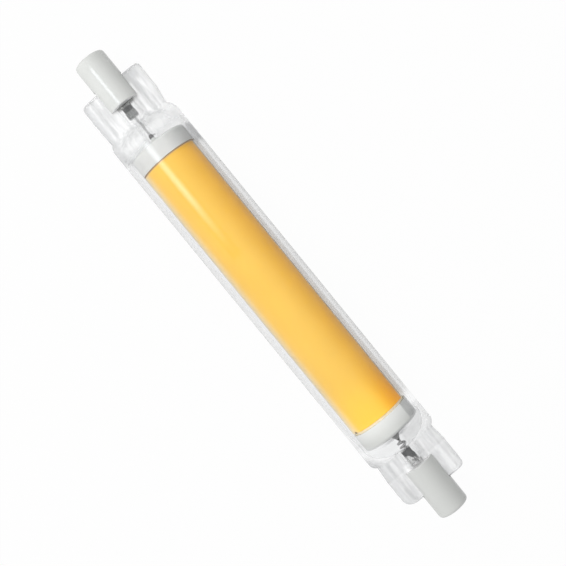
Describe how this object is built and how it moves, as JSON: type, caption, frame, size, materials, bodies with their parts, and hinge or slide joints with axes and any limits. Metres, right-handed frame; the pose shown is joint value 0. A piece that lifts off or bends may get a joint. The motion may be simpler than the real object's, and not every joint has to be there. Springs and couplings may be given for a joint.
{
  "type": "linear led bulb",
  "caption": "Double-ended linear LED bulb: clear glass tube pinched flat at both ends, yellow phosphor-coated core inside, and slotted ceramic end caps with recessed contacts.",
  "frame": {"origin": "the middle of the bulb, on its axis", "axes": "+X along the bulb's axis towards the right-hand cap, +Y across the flat pinched ends towards the core's seam, +Z at right angles to the flat of the pinches"},
  "size_m": [0.1176, 0.016, 0.016],
  "materials": {
    "clear_glass": "clear, fire polished",
    "cap_ceramic": "pale glaze",
    "cap_cement": "matt cement",
    "contact_metal": "plated",
    "ferrule_metal": "bright drawn",
    "lead_wire": "dull drawn wire",
    "solder": "dark solder and flux",
    "core_cup": "pale glossy moulding",
    "core_tube": "pale ceramic",
    "phosphor": "yellow phosphor silicone",
    "led_chip": "chip",
    "circuit_board": "solder mask",
    "moulded_parts": "moulding compound",
    "chip_resistor": "coated ceramic",
    "fuse": "coated ceramic",
    "feed_pin": "plated pin"
  },
  "bodies": {
    "root": {"glass_envelope": "clear_glass", "end_cap_left": "cap_ceramic", "end_cap_right": "cap_ceramic", "cap_cement_left": "cap_cement", "cap_cement_right": "cap_cement", "contact_button_left": "contact_metal", "contact_button_right": "contact_metal", "ferrule_left": "ferrule_metal", "ferrule_right": "ferrule_metal", "lead_wire_left": "lead_wire", "lead_wire_right": "lead_wire", "solder_bead_left": "solder", "solder_bead_right": "solder", "core_cup_left": "core_cup", "core_cup_right": "core_cup", "core_tube": "core_tube", "phosphor_coat": "phosphor", "led_chips": "led_chip", "driver_board": "circuit_board", "bridge_rectifier": "moulded_parts", "current_regulators": "moulded_parts", "chip_resistors": "chip_resistor", "fuse_resistor": "fuse", "feed_pin_left": "feed_pin", "feed_pin_right": "feed_pin"}
  },
  "joints": []
}
